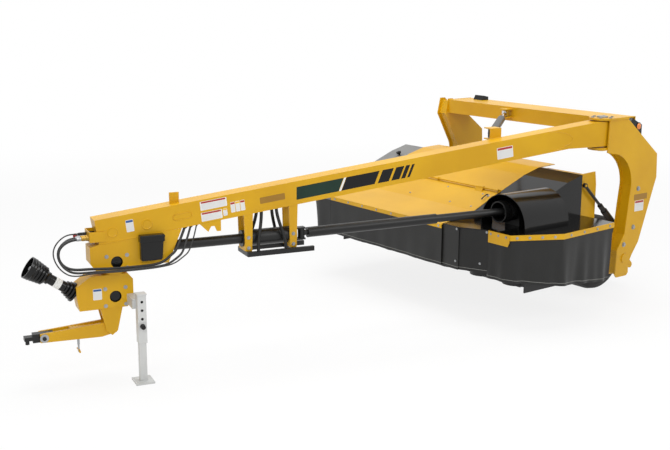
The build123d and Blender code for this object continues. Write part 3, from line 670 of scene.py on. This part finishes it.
def bolts(name, body, places, head, seed):
    """Hexagon bolts at (point, facing) places, as one plain mesh on a body."""
    points = bpy.data.meshes.new(name + "_points")
    points.from_pydata([p for p, _ in places], [], [])
    facing = points.attributes.new("facing", "FLOAT_VECTOR", "POINT")
    for item, (_, way) in zip(facing.data, places):
        item.vector = way
    holder = bpy.data.objects.new(name, points)
    scene.collection.objects.link(holder)
    setter = holder.modifiers.new("bolts", "NODES")
    setter.node_group = bolt_nodes
    sockets = {i.name: i.identifier for i in bolt_nodes.interface.items_tree if i.in_out == "INPUT"}
    setter[sockets["Head"]] = head
    setter[sockets["Seed"]] = seed
    setter[sockets["Finish"]] = zinc
    bpy.context.view_layer.update()
    depsgraph = bpy.context.evaluated_depsgraph_get()
    mesh = bpy.data.meshes.new_from_object(holder.evaluated_get(depsgraph))
    holder.modifiers.clear()
    holder.data = mesh
    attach(holder, body)


def spots(points, facing):
    """Places from the machine's middle, all facing one way."""
    way = Vector(facing).normalized()
    return [(machine_point(*point), way) for point in points]


bolt_nodes = bolt_group()
pivot_ring = [(1.19 + 0.098 * cos(radians(a)), 0.098 * sin(radians(a)), 1.885) for a in range(0, 360, 60)]
bolts("bolts_pivot", "frame", spots(pivot_ring, (0, 0, 1)), 0.013, 1)
leg_out = [(leg_side, 0.477, 1.150), (leg_side, 0.433, 0.762), (leg_side, 0.300, 0.600)]
bolts("bolts_leg", "frame", spots(leg_out, (1, 0, 0)), 0.017, 2)
lip_row = [(-1.12 + 0.232 * i, -1.48, 0.886) for i in range(8)]
bolts("bolts_lip", "cover", spots(lip_row, (0, -1, 0)), 0.008, 3)
slope_way = (0, -0.397, 0.918)
low_row = [(x, -1.0, 1.0066) for x in (-1.05, -0.45, 0.15, 0.45)]
high_row = [(x, -0.79, 1.0975) for x in (-0.9, -0.1, 0.4)]
bolts("bolts_cover", "cover", spots(low_row + high_row, slope_way), 0.007, 4)
# columns: seed, the trim's corners in plan, distances along it
for seed, start, end, stations in (
    (5, Vector((1.310, -1.345, 0.893)), Vector((1.550, -0.900, 0.893)), (0.06, 0.18, 0.30, 0.42)),
    (6, Vector((1.550, -0.900, 0.893)), Vector((1.500, -0.130, 0.893)), (0.10, 0.30, 0.50, 0.70)),
):
    way = (end - start).normalized()
    out = Vector((way.y, -way.x, 0))
    row = [tuple(start + way * d + out * 0.006) for d in stations]
    bolts(f"bolts_trim_{seed - 4}", "frame", spots(row, out), 0.009, seed)
front_flap = [(0.745, -1.470, 0.895), (0.738, -1.470, 0.585)]
corner_flap = [(1.016, -1.348, 0.895), (0.962, -1.372, 0.590)]
flap_spots = spots(front_flap, (0, -1, 0)) + spots(corner_flap, (0.403, -0.915, 0))
bolts("bolts_flaps", "frame", flap_spots, 0.008, 10)
rear_row = [(side * x, 0.110, z) for side in (-1, 1) for x in (0.50, 0.70, 0.90, 1.03)
            for z in (0.65, 1.24)]
bolts("bolts_rear", "frame", spots(rear_row, (0, 1, 0)), 0.011, 7)
tab_face_n = 0.082
tab_spots = []
across = (tongue_turn @ Vector((1, 0, 0))).normalized()
for s in (3.255, 3.659):
    for z in (0.955, 1.045):
        tab_spots.append((tongue_point(tab_face_n, s, z), across))
        tab_spots.append((tongue_point(-tab_face_n, s, z), -across))
bolts("bolts_tabs", "tongue", tab_spots, 0.011, 8)
nut_x = 0.69 + 0.043
nut_circle = 0.135
wheel_y, wheel_z = 0.5, 0.392
for side, body in ((1, "wheel_left"), (-1, "wheel_right")):
    nuts = []
    for i in range(6):
        turn = radians(60 * i)
        nuts.append((side * nut_x, wheel_y + nut_circle * cos(turn), wheel_z + nut_circle * sin(turn)))
    bolts("nuts_" + body, body, spots(nuts, (side, 0, 0)), 0.013, 9)


# Turned and bent small parts: the hose couplings and light socket on their strap, a cap, grommets, the
# hitch's
# T-handle and washers, the jack's pin, the hood's knob and latch, and thin black discs of painted shade in
# the jack's holes. They are of zinc, brass, rubber, plastic and painted bar, and are screwed, pinned or
# pressed on.
flute_depth = 0.07


def lathe(name, body, slot, place, way, profile, material, sides=36, flutes=0):
    """A turned piece from (radius, height) pairs along an axis from a point, fluted if asked."""
    turn = Vector(way).normalized().to_track_quat("Z", "Y").to_matrix()
    mesh = bpy.data.meshes.new(name)
    form = bmesh.new()
    rings = []
    for radius, height in profile:
        ring = []
        for i in range(sides):
            a = 2 * pi * i / sides
            r = radius * (1 - (flute_depth if flutes and (i * flutes // sides) % 2 else 0))
            ring.append(form.verts.new(place + turn @ Vector((r * cos(a), r * sin(a), height))))
        rings.append(ring)
    for low, high in zip(rings, rings[1:]):
        for i in range(sides):
            j = (i + 1) % sides
            form.faces.new((low[i], low[j], high[j], high[i]))
    form.faces.new(rings[-1])
    form.faces.new(list(reversed(rings[0])))
    bmesh.ops.recalc_face_normals(form, faces=form.faces)
    form.to_mesh(mesh)
    form.free()
    return add_piece(name, body, slot, mesh, material)


def bent(name, body, slot, points, radius, material):
    """A bent round bar through points, as a plain mesh on a body."""
    holder = round_line(name + "_line", points, radius, 6, 4, material)
    bpy.context.view_layer.update()
    mesh = bpy.data.meshes.new_from_object(holder.evaluated_get(bpy.context.evaluated_depsgraph_get()))
    bpy.data.objects.remove(holder)
    mesh.name = name
    mesh.materials.clear()
    return add_piece(name, body, slot, mesh, material)


def plate(name, body, slot, outline, way, thick, material, rounding, segments=3):
    """A plate from an outline of points, thickened along a direction and bevelled."""
    mesh = bpy.data.meshes.new(name)
    form = bmesh.new()
    sides = [[form.verts.new(p + way * d) for p in outline] for d in (0, thick)]
    form.faces.new(sides[1])
    form.faces.new(list(reversed(sides[0])))
    for i in range(len(outline)):
        j = (i + 1) % len(outline)
        form.faces.new((sides[0][i], sides[0][j], sides[1][j], sides[1][i]))
    bmesh.ops.recalc_face_normals(form, faces=form.faces)
    bmesh.ops.bevel(form, geom=form.edges[:], offset=rounding, segments=segments, affect="EDGES")
    form.to_mesh(mesh)
    form.free()
    return add_piece(name, body, slot, mesh, material)


cap_red = finish("cap_red", [(140, 22, 20), (160, 32, 28)], (0.4, 0.55), 0.002, 0.05)
brass = finish("brass", [(150, 118, 50), (176, 142, 70)], (0.28, 0.42), 0.002, 0.06, metallic=1)
forward = tongue_turn @ Vector((0, -1, 0))
strap_low, strap_tall = 1.126, 0.084
strap_plan = [(-0.093, 4.86), (-0.093, 4.985), (0.093, 4.985), (0.093, 4.86), (0.085, 4.86), (0.085, 4.977),
              (-0.085, 4.977), (-0.085, 4.86)]
strap_foot = [tongue_point(n, s, strap_low) for n, s in strap_plan]
plate("coupling_strap", "tongue", "yellow_paint", strap_foot, upright, strap_tall, yellow, 0.0015, 2)
coupling_z = 1.158
coupling = [(0.018, 0), (0.018, 0.036), (0.0142, 0.039), (0.0142, 0.052), (0.0185, 0.054), (0.0185, 0.092),
            (0.0162, 0.095), (0.0162, 0.128), (0.0125, 0.134), (0.0125, 0.146)]
for i, (n, plating) in enumerate(((0.070, brass), (0.020, brass), (-0.065, zinc))):
    at = tongue_point(n, 4.912, coupling_z)
    lathe(f"coupling_{i}", "tongue", "steel", at, forward, coupling, plating, 48, 24)
lathe("light_socket", "tongue", "black_plastic", tongue_point(-0.030, 4.918, 1.180), forward,
      [(0.014, 0), (0.014, 0.07), (0.0105, 0.075), (0.0105, 0.125), (0.007, 0.138)], plastic, 48, 16)
ferrule = [(0.0115, 0), (0.0145, 0.002), (0.0145, 0.012), (0.0135, 0.014), (0.0145, 0.016), (0.0145, 0.034),
           (0.0118, 0.037)]
for i, n in enumerate((0.070, 0.020)):
    lathe(f"ferrule_{i}", "tongue", "steel", tongue_point(n, 5.046, coupling_z), forward, ferrule, zinc)
cap = [(0.0125, -0.004), (0.0205, -0.002), (0.0205, 0.018), (0.017, 0.024), (0.004, 0.026)]
lathe("dust_cap", "tongue", "black_plastic", tongue_point(-0.065, 5.058, coupling_z), forward, cap,
      cap_red, 48, 16)
grommet = [(0.4, -0.001), (1.9, -0.001), (2.0, 0.004), (1.5, 0.009), (1.15, 0.014), (0.4, 0.014)]
for name, diameter, _, _, rise in hose_table:
    n, s, _ = rise[-1]
    ring = [(r * diameter / 2, h) for r, h in grommet]
    at = tongue_point(n, s, underside(s))
    lathe("grommet_" + name, "tongue", "black_plastic", at, (0, 0, -1), ring, rubber)

down = Vector((0, 0, -1))
fork_under = tongue_point(0.044, 5.10, 0.345)
lathe("handle_pin", "fork", "steel", fork_under, down,
      [(0.010, -0.004), (0.010, 0.05), (0.0075, 0.056), (0.0075, 0.11), (0.004, 0.115)], zinc)
bar_at = fork_under + Vector((0, 0, -0.095))
bent("handle_bar", "fork", "yellow_paint",
     [bar_at - across * 0.055 + down * 0.006, bar_at - across * 0.03, bar_at, bar_at + across * 0.03,
      bar_at + across * 0.055 + down * 0.006], 0.008, yellow)
washer = [(0.0165, 0), (0.034, 0.001), (0.034, 0.005), (0.0165, 0.006)]
for i, side in enumerate((1, -1)):
    at = tongue_point(side * 0.0542, 5.365, 0.380)
    lathe(f"hitch_washer_{i}", "fork", "steel", at, across * side, washer, zinc)
jack_face = 0.298 + 0.035
jack_s = 4.645
# The jack's holes are thin black discs on its face: painted shade for the dark inside of each hole.
for i, z in enumerate((0.53, 0.60, 0.67)):
    lathe(f"jack_hole_shade_{i}", "swivel", "black_plastic", tongue_point(jack_face, jack_s, z), across,
          [(0.011, -0.001), (0.011, 0.0008), (0.0085, 0.0012), (0.002, 0.0012)], plastic)
lathe("jack_pin", "swivel", "black_plastic", tongue_point(jack_face, jack_s, 0.47), across,
      [(0.021, -0.001), (0.021, 0.008), (0.013, 0.010), (0.013, 0.024), (0.019, 0.026), (0.019, 0.034),
       (0.008, 0.037)], plastic, 40, 20)
knob_at = machine_point(-1.30, -0.42, 1.2465)
lathe("knob", "frame", "black_plastic", knob_at, (0, -0.37, 0.93),
      [(0.012, -0.004), (0.012, 0.018), (0.026, 0.022), (0.030, 0.034), (0.026, 0.046), (0.010, 0.05)],
      plastic, 40, 10)
latch_at = machine_point(0.485, -0.80, 1.0932)
slope_up = Vector((0, 0.918, 0.397))
slope_out = Vector(slope_way).normalized()
# columns: out from the cover, down its slope
latch_bends = ((0, 0), (0.02, 0), (0.026, 0.02), (0.024, 0.07), (0.016, 0.095))
latch_line = [latch_at + slope_out * out - slope_up * drop for out, drop in latch_bends]
bent("latch", "cover", "black_paint", latch_line, 0.006, black)
lathe("latch_boss", "cover", "steel", latch_at - slope_out * 0.001, slope_out,
      [(0.016, 0), (0.016, 0.006), (0.011, 0.009), (0.011, 0.014), (0.006, 0.016)], zinc)


# Lamp lenses: round ribbed amber plastic, each in a black ring.
# They are clipped to the outer side of the near lamp and the rear of the far one.
lens_steps = 9


def lens(name, at, way, radius):
    """A domed lens with rings moulded in it, and its ring."""
    rings = [(radius * 1.02, -0.001), (radius * 1.02, 0.002)]
    for i in range(lens_steps):
        share = 1 - i / lens_steps
        rings.append((radius * share, 0.003 + 0.009 * (1 - share ** 2) + (0.0009 if i % 2 else 0)))
    lathe(name, "frame", "black_plastic", at, way, rings + [(0.001, 0.0125)], amber, 48)
    rim = [(radius, -0.001), (radius * 1.16, -0.001), (radius * 1.16, 0.003), (radius * 1.03, 0.0045)]
    lathe(name + "_rim", "frame", "black_plastic", at, way, rim, plastic, 48)


lens("lens_near", machine_point(1.297, 0.428, 1.778), (1, 0, 0), 0.033)
lens("lens_far", machine_point(-0.94, 0.54, 1.872), (0, 1, 0), 0.014)


# Weld beads: rippled steel under the paint, laid by hand where plates meet.
# They run along the tongue's joint, tabs, bracket and upper housing, and at the beam's two ends.
ripple_step = 0.0035
bead_sides = 8
bead_lift = 0.0002


def bead(name, body, points, radius):
    """A rippled bead along straight runs between points."""
    mesh = bpy.data.meshes.new(name)
    form = bmesh.new()
    for start, end in zip(points, points[1:]):
        way = (end - start).normalized()
        turn = way.to_track_quat("Z", "Y").to_matrix()
        steps = max(6, round((end - start).length / ripple_step))
        rings = []
        for i in range(steps + 1):
            r = radius * (0.86 + 0.14 * abs(sin(i * 0.9)))
            middle = start + (end - start) * (i / steps)
            ring = []
            for k in range(bead_sides):
                a = 2 * pi * k / bead_sides
                ring.append(form.verts.new(middle + turn @ Vector((r * cos(a), r * sin(a), 0))))
            rings.append(ring)
        for low, high in zip(rings, rings[1:]):
            for k in range(bead_sides):
                j = (k + 1) % bead_sides
                form.faces.new((low[k], low[j], high[j], high[k]))
        form.faces.new(rings[-1])
        form.faces.new(list(reversed(rings[0])))
    bmesh.ops.recalc_face_normals(form, faces=form.faces)
    form.to_mesh(mesh)
    form.free()
    return add_piece(name, body, "yellow_paint", mesh, yellow)


housing_line = [tongue_point(tongue_face + bead_lift, s, underside(s)) for s in (4.485, 4.70, 4.905)]
bead("weld_housing", "tongue", housing_line, 0.004)
# columns: along, height over the tongue's underside
joint_marks = ((0.680, 0.198), (0.610, 0.190), (0.548, 0.176), (0.486, 0.158), (0.441, 0.137),
               (0.411, 0.114), (0.400, 0.090), (0.409, 0.066), (0.440, 0.045), (0.500, 0.028),
               (0.630, 0.003))
joint_line = [tongue_point(tongue_face, s, underside(s) + up) for s, up in joint_marks]
bead("weld_joint", "tongue", joint_line, 0.0045)
for i, s in enumerate((3.255, 3.659)):
    for side in (-1, 1):
        tab_line = [tongue_point(side * tab_face_n, s + d, underside(s + d)) for d in (-0.04, 0.04)]
        bead(f"weld_tab_{i}_{'near' if side > 0 else 'far'}", "tongue", tab_line, 0.003)
bracket_line = [tongue_point(-tongue_face, s, underside(s) + tongue_tall) for s in (1.09, 1.21)]
bead("weld_bracket", "tongue", bracket_line, 0.004)
for name, x in (("weld_beam", 1.1598), ("weld_beam_far", -1.1598)):
    beam_line = [machine_point(x, y, 1.854) for y in (0.195, 0.55)]
    bead(name, "frame", beam_line, 0.004)


# Housing covers: moulded black plugs pushed into the round ports, with four zinc bolts about each.
# They close the gear housings above and below the swivel.
plug = [(0.0470, -0.024), (0.0475, -0.006), (0.0440, -0.005), (0.0380, -0.016), (0.0120, -0.018),
        (0.002, -0.018)]
# columns: name, body, along, height of the port, half spread of the bolts along and up
for name, body, s, z, wide, tall in (
    ("upper", "tongue", 4.774, 0.949, 0.082, 0.052),
    ("lower", "swivel", 4.795, 0.667, 0.082, 0.070),
):
    lathe("port_" + name, body, "black_plastic", tongue_point(tongue_face, s, z), across, plug, plastic, 48)
    corners = [(tongue_point(tongue_face, s + wide * i, z + tall * j), across)
               for i in (-1, 1) for j in (-1, 1)]
    bolts("bolts_" + name, body, corners, 0.011, 12)


# Pressed rings on the tongue's near side: two round rims and a long one, raised in the painted sheet.
# They are pressed into the plate before it is welded up.
dimple = [(0.046, -0.001), (0.043, 0.0040), (0.037, 0.0055), (0.031, 0.0010), (0.002, 0.0010)]
for i, (s, z) in enumerate(((4.800, 1.196), (4.521, 1.236))):
    at = tongue_point(tongue_face, s, z)
    lathe(f"dimple_{i}", "tongue", "yellow_paint", at, across, dimple, yellow, 48)
long_s, long_up = 4.225, 0.098
long_half = 0.055
long_round = 0.024
loop_steps = 48
loop = []
for i in range(loop_steps):
    turn = 2 * pi * i / loop_steps
    shift = long_half if cos(turn) > 0 else -long_half
    s = long_s + shift + long_round * cos(turn)
    z = underside(long_s) + long_up - tongue_fall * (s - long_s) + long_round * sin(turn)
    loop.append(tongue_point(tongue_face + bead_lift, s, z))
bead("dimple_long", "tongue", loop + loop[:1], 0.0042)


# Flat pieces cut from plate: two gussets behind the upper housing, the hose hook under the tongue, the tab
# on the near trim and the manual box. The gussets, hook and tab are welded or bolted yellow plate, and the
# box is black moulded plastic with a lid.
plate_edge = 0.001
gusset_line = [(4.585, underside(4.585)), (4.235, underside(4.235)), (4.352, 0.905), (4.585, 0.905)]
for side, name in ((1, "gusset_near"), (-1, "gusset_far")):
    gusset_face = [tongue_point(side * 0.0845, s, z) for s, z in gusset_line]
    plate(name, "tongue", "yellow_paint", gusset_face, across * side, 0.006, yellow, plate_edge)
hook_front, hook_rear = 4.085, 3.90
hook_low = underside(hook_front) - 0.07
notch_top = hook_low + 0.045
weld_in = 0.004
hook_line = [(hook_front, underside(hook_front) + weld_in), (hook_rear, underside(hook_rear) + weld_in),
             (hook_rear, hook_low), (3.935, hook_low), (3.955, notch_top), (3.985, notch_top),
             (4.010, hook_low)]
hook_face = [tongue_point(0.077, s, z) for s, z in hook_line]
plate("hose_hook", "tongue", "yellow_paint", hook_face, across, 0.008, yellow, plate_edge)
tab_line = [(1.040, 0.918), (1.305, 0.918), (1.305, 0.846), (1.285, 0.808), (1.040, 0.808)]
tab_face = [machine_point(x, -1.351, z) for x, z in tab_line]
plate("trim_tab", "frame", "yellow_paint", tab_face, Vector((0, -1, 0)), 0.005, yellow, plate_edge)
tab_bolts = [(x, -1.356, 0.893) for x in (1.075, 1.170, 1.265)]
bolts("bolts_tab", "frame", spots(tab_bolts, (0, -1, 0)), 0.008, 13)
box_line = [(4.400, 1.150), (4.590, 1.150), (4.590, 0.948), (4.415, 0.948)]
box_back = [tongue_point(0.0855, s, z) for s, z in box_line]
box = plate("manual_case", "tongue", "black_plastic", box_back, across, 0.062, plastic, 0.008)
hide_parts("manual_box")
lid_line = [(4.393, 1.158), (4.597, 1.158), (4.597, 1.096), (4.396, 1.096)]
lid_back = [tongue_point(0.086, s, z) for s, z in lid_line]
plate("manual_lid", "tongue", "black_plastic", lid_back, across, 0.069, plastic, 0.006)


# Guard hangers: black round bar, bent to shape, two on each side.
# They are welded between the tongue's underside and the rail that guards the shaft.
for i, (top_s, low_s) in enumerate(((3.40, 3.335), (3.535, 3.585))):
    for side in (-1, 1):
        points = [tongue_point(side * 0.055, top_s, underside(top_s) - 0.002),
                  tongue_point(side * 0.062, top_s, underside(top_s) - 0.06),
                  tongue_point(side * 0.108, low_s, 1.000), tongue_point(side * 0.115, low_s, 0.932)]
        bent(f"hanger_{i}_{'near' if side > 0 else 'far'}", "tongue", "black_paint", points, 0.014, black)


# Drive guard: black moulded plastic, a ribbed cone at the housing, a plain tube with a pale band, and a
# ribbed bell round the splined steel shaft end that the tractor drives. It is clipped on the lower housing.
guard_root = tongue_point(0, 5.090, 0.705)
guard_way = (tongue_turn @ Vector((0, -370, 255))).normalized()
guard_line = [(0.030, 0.012), (0.058, 0.012)]
for i in range(4):
    guard_line += [(0.082 - 0.009 * i, 0.016 + 0.026 * i), (0.082 - 0.009 * i, 0.030 + 0.026 * i),
                   (0.070 - 0.009 * i, 0.034 + 0.026 * i)]
guard_line += [(0.043, 0.125), (0.041, 0.250), (0.050, 0.256), (0.050, 0.276), (0.060, 0.284)]
for i in range(5):
    guard_line += [(0.068 + 0.005 * i, 0.294 + 0.026 * i), (0.075 + 0.004 * i, 0.298 + 0.026 * i),
                   (0.075 + 0.004 * i, 0.312 + 0.026 * i), (0.070 + 0.005 * i, 0.316 + 0.026 * i)]
guard_line += [(0.092, 0.424), (0.092, 0.445), (0.084, 0.445), (0.082, 0.400), (0.060, 0.330),
               (0.010, 0.330)]
guard = lathe("drive_guard", "swivel", "black_plastic", guard_root, guard_way, guard_line, plastic, 64)
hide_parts("pto_guard")
lathe("drive_stub", "swivel", "steel", guard_root, guard_way,
      [(0.0175, 0.325), (0.0175, 0.408), (0.0155, 0.410), (0.0155, 0.416), (0.0175, 0.418), (0.0175, 0.427),
       (0.0150, 0.430)], steel, 60, 12)
lathe("guard_band", "swivel", "steel", guard_root, guard_way,
      [(0.0415, 0.150), (0.0435, 0.151), (0.0435, 0.205), (0.0415, 0.206)], film_white, 48)


# Sizes: the dressed machine's box, in metres, low corner first.
low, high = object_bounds()
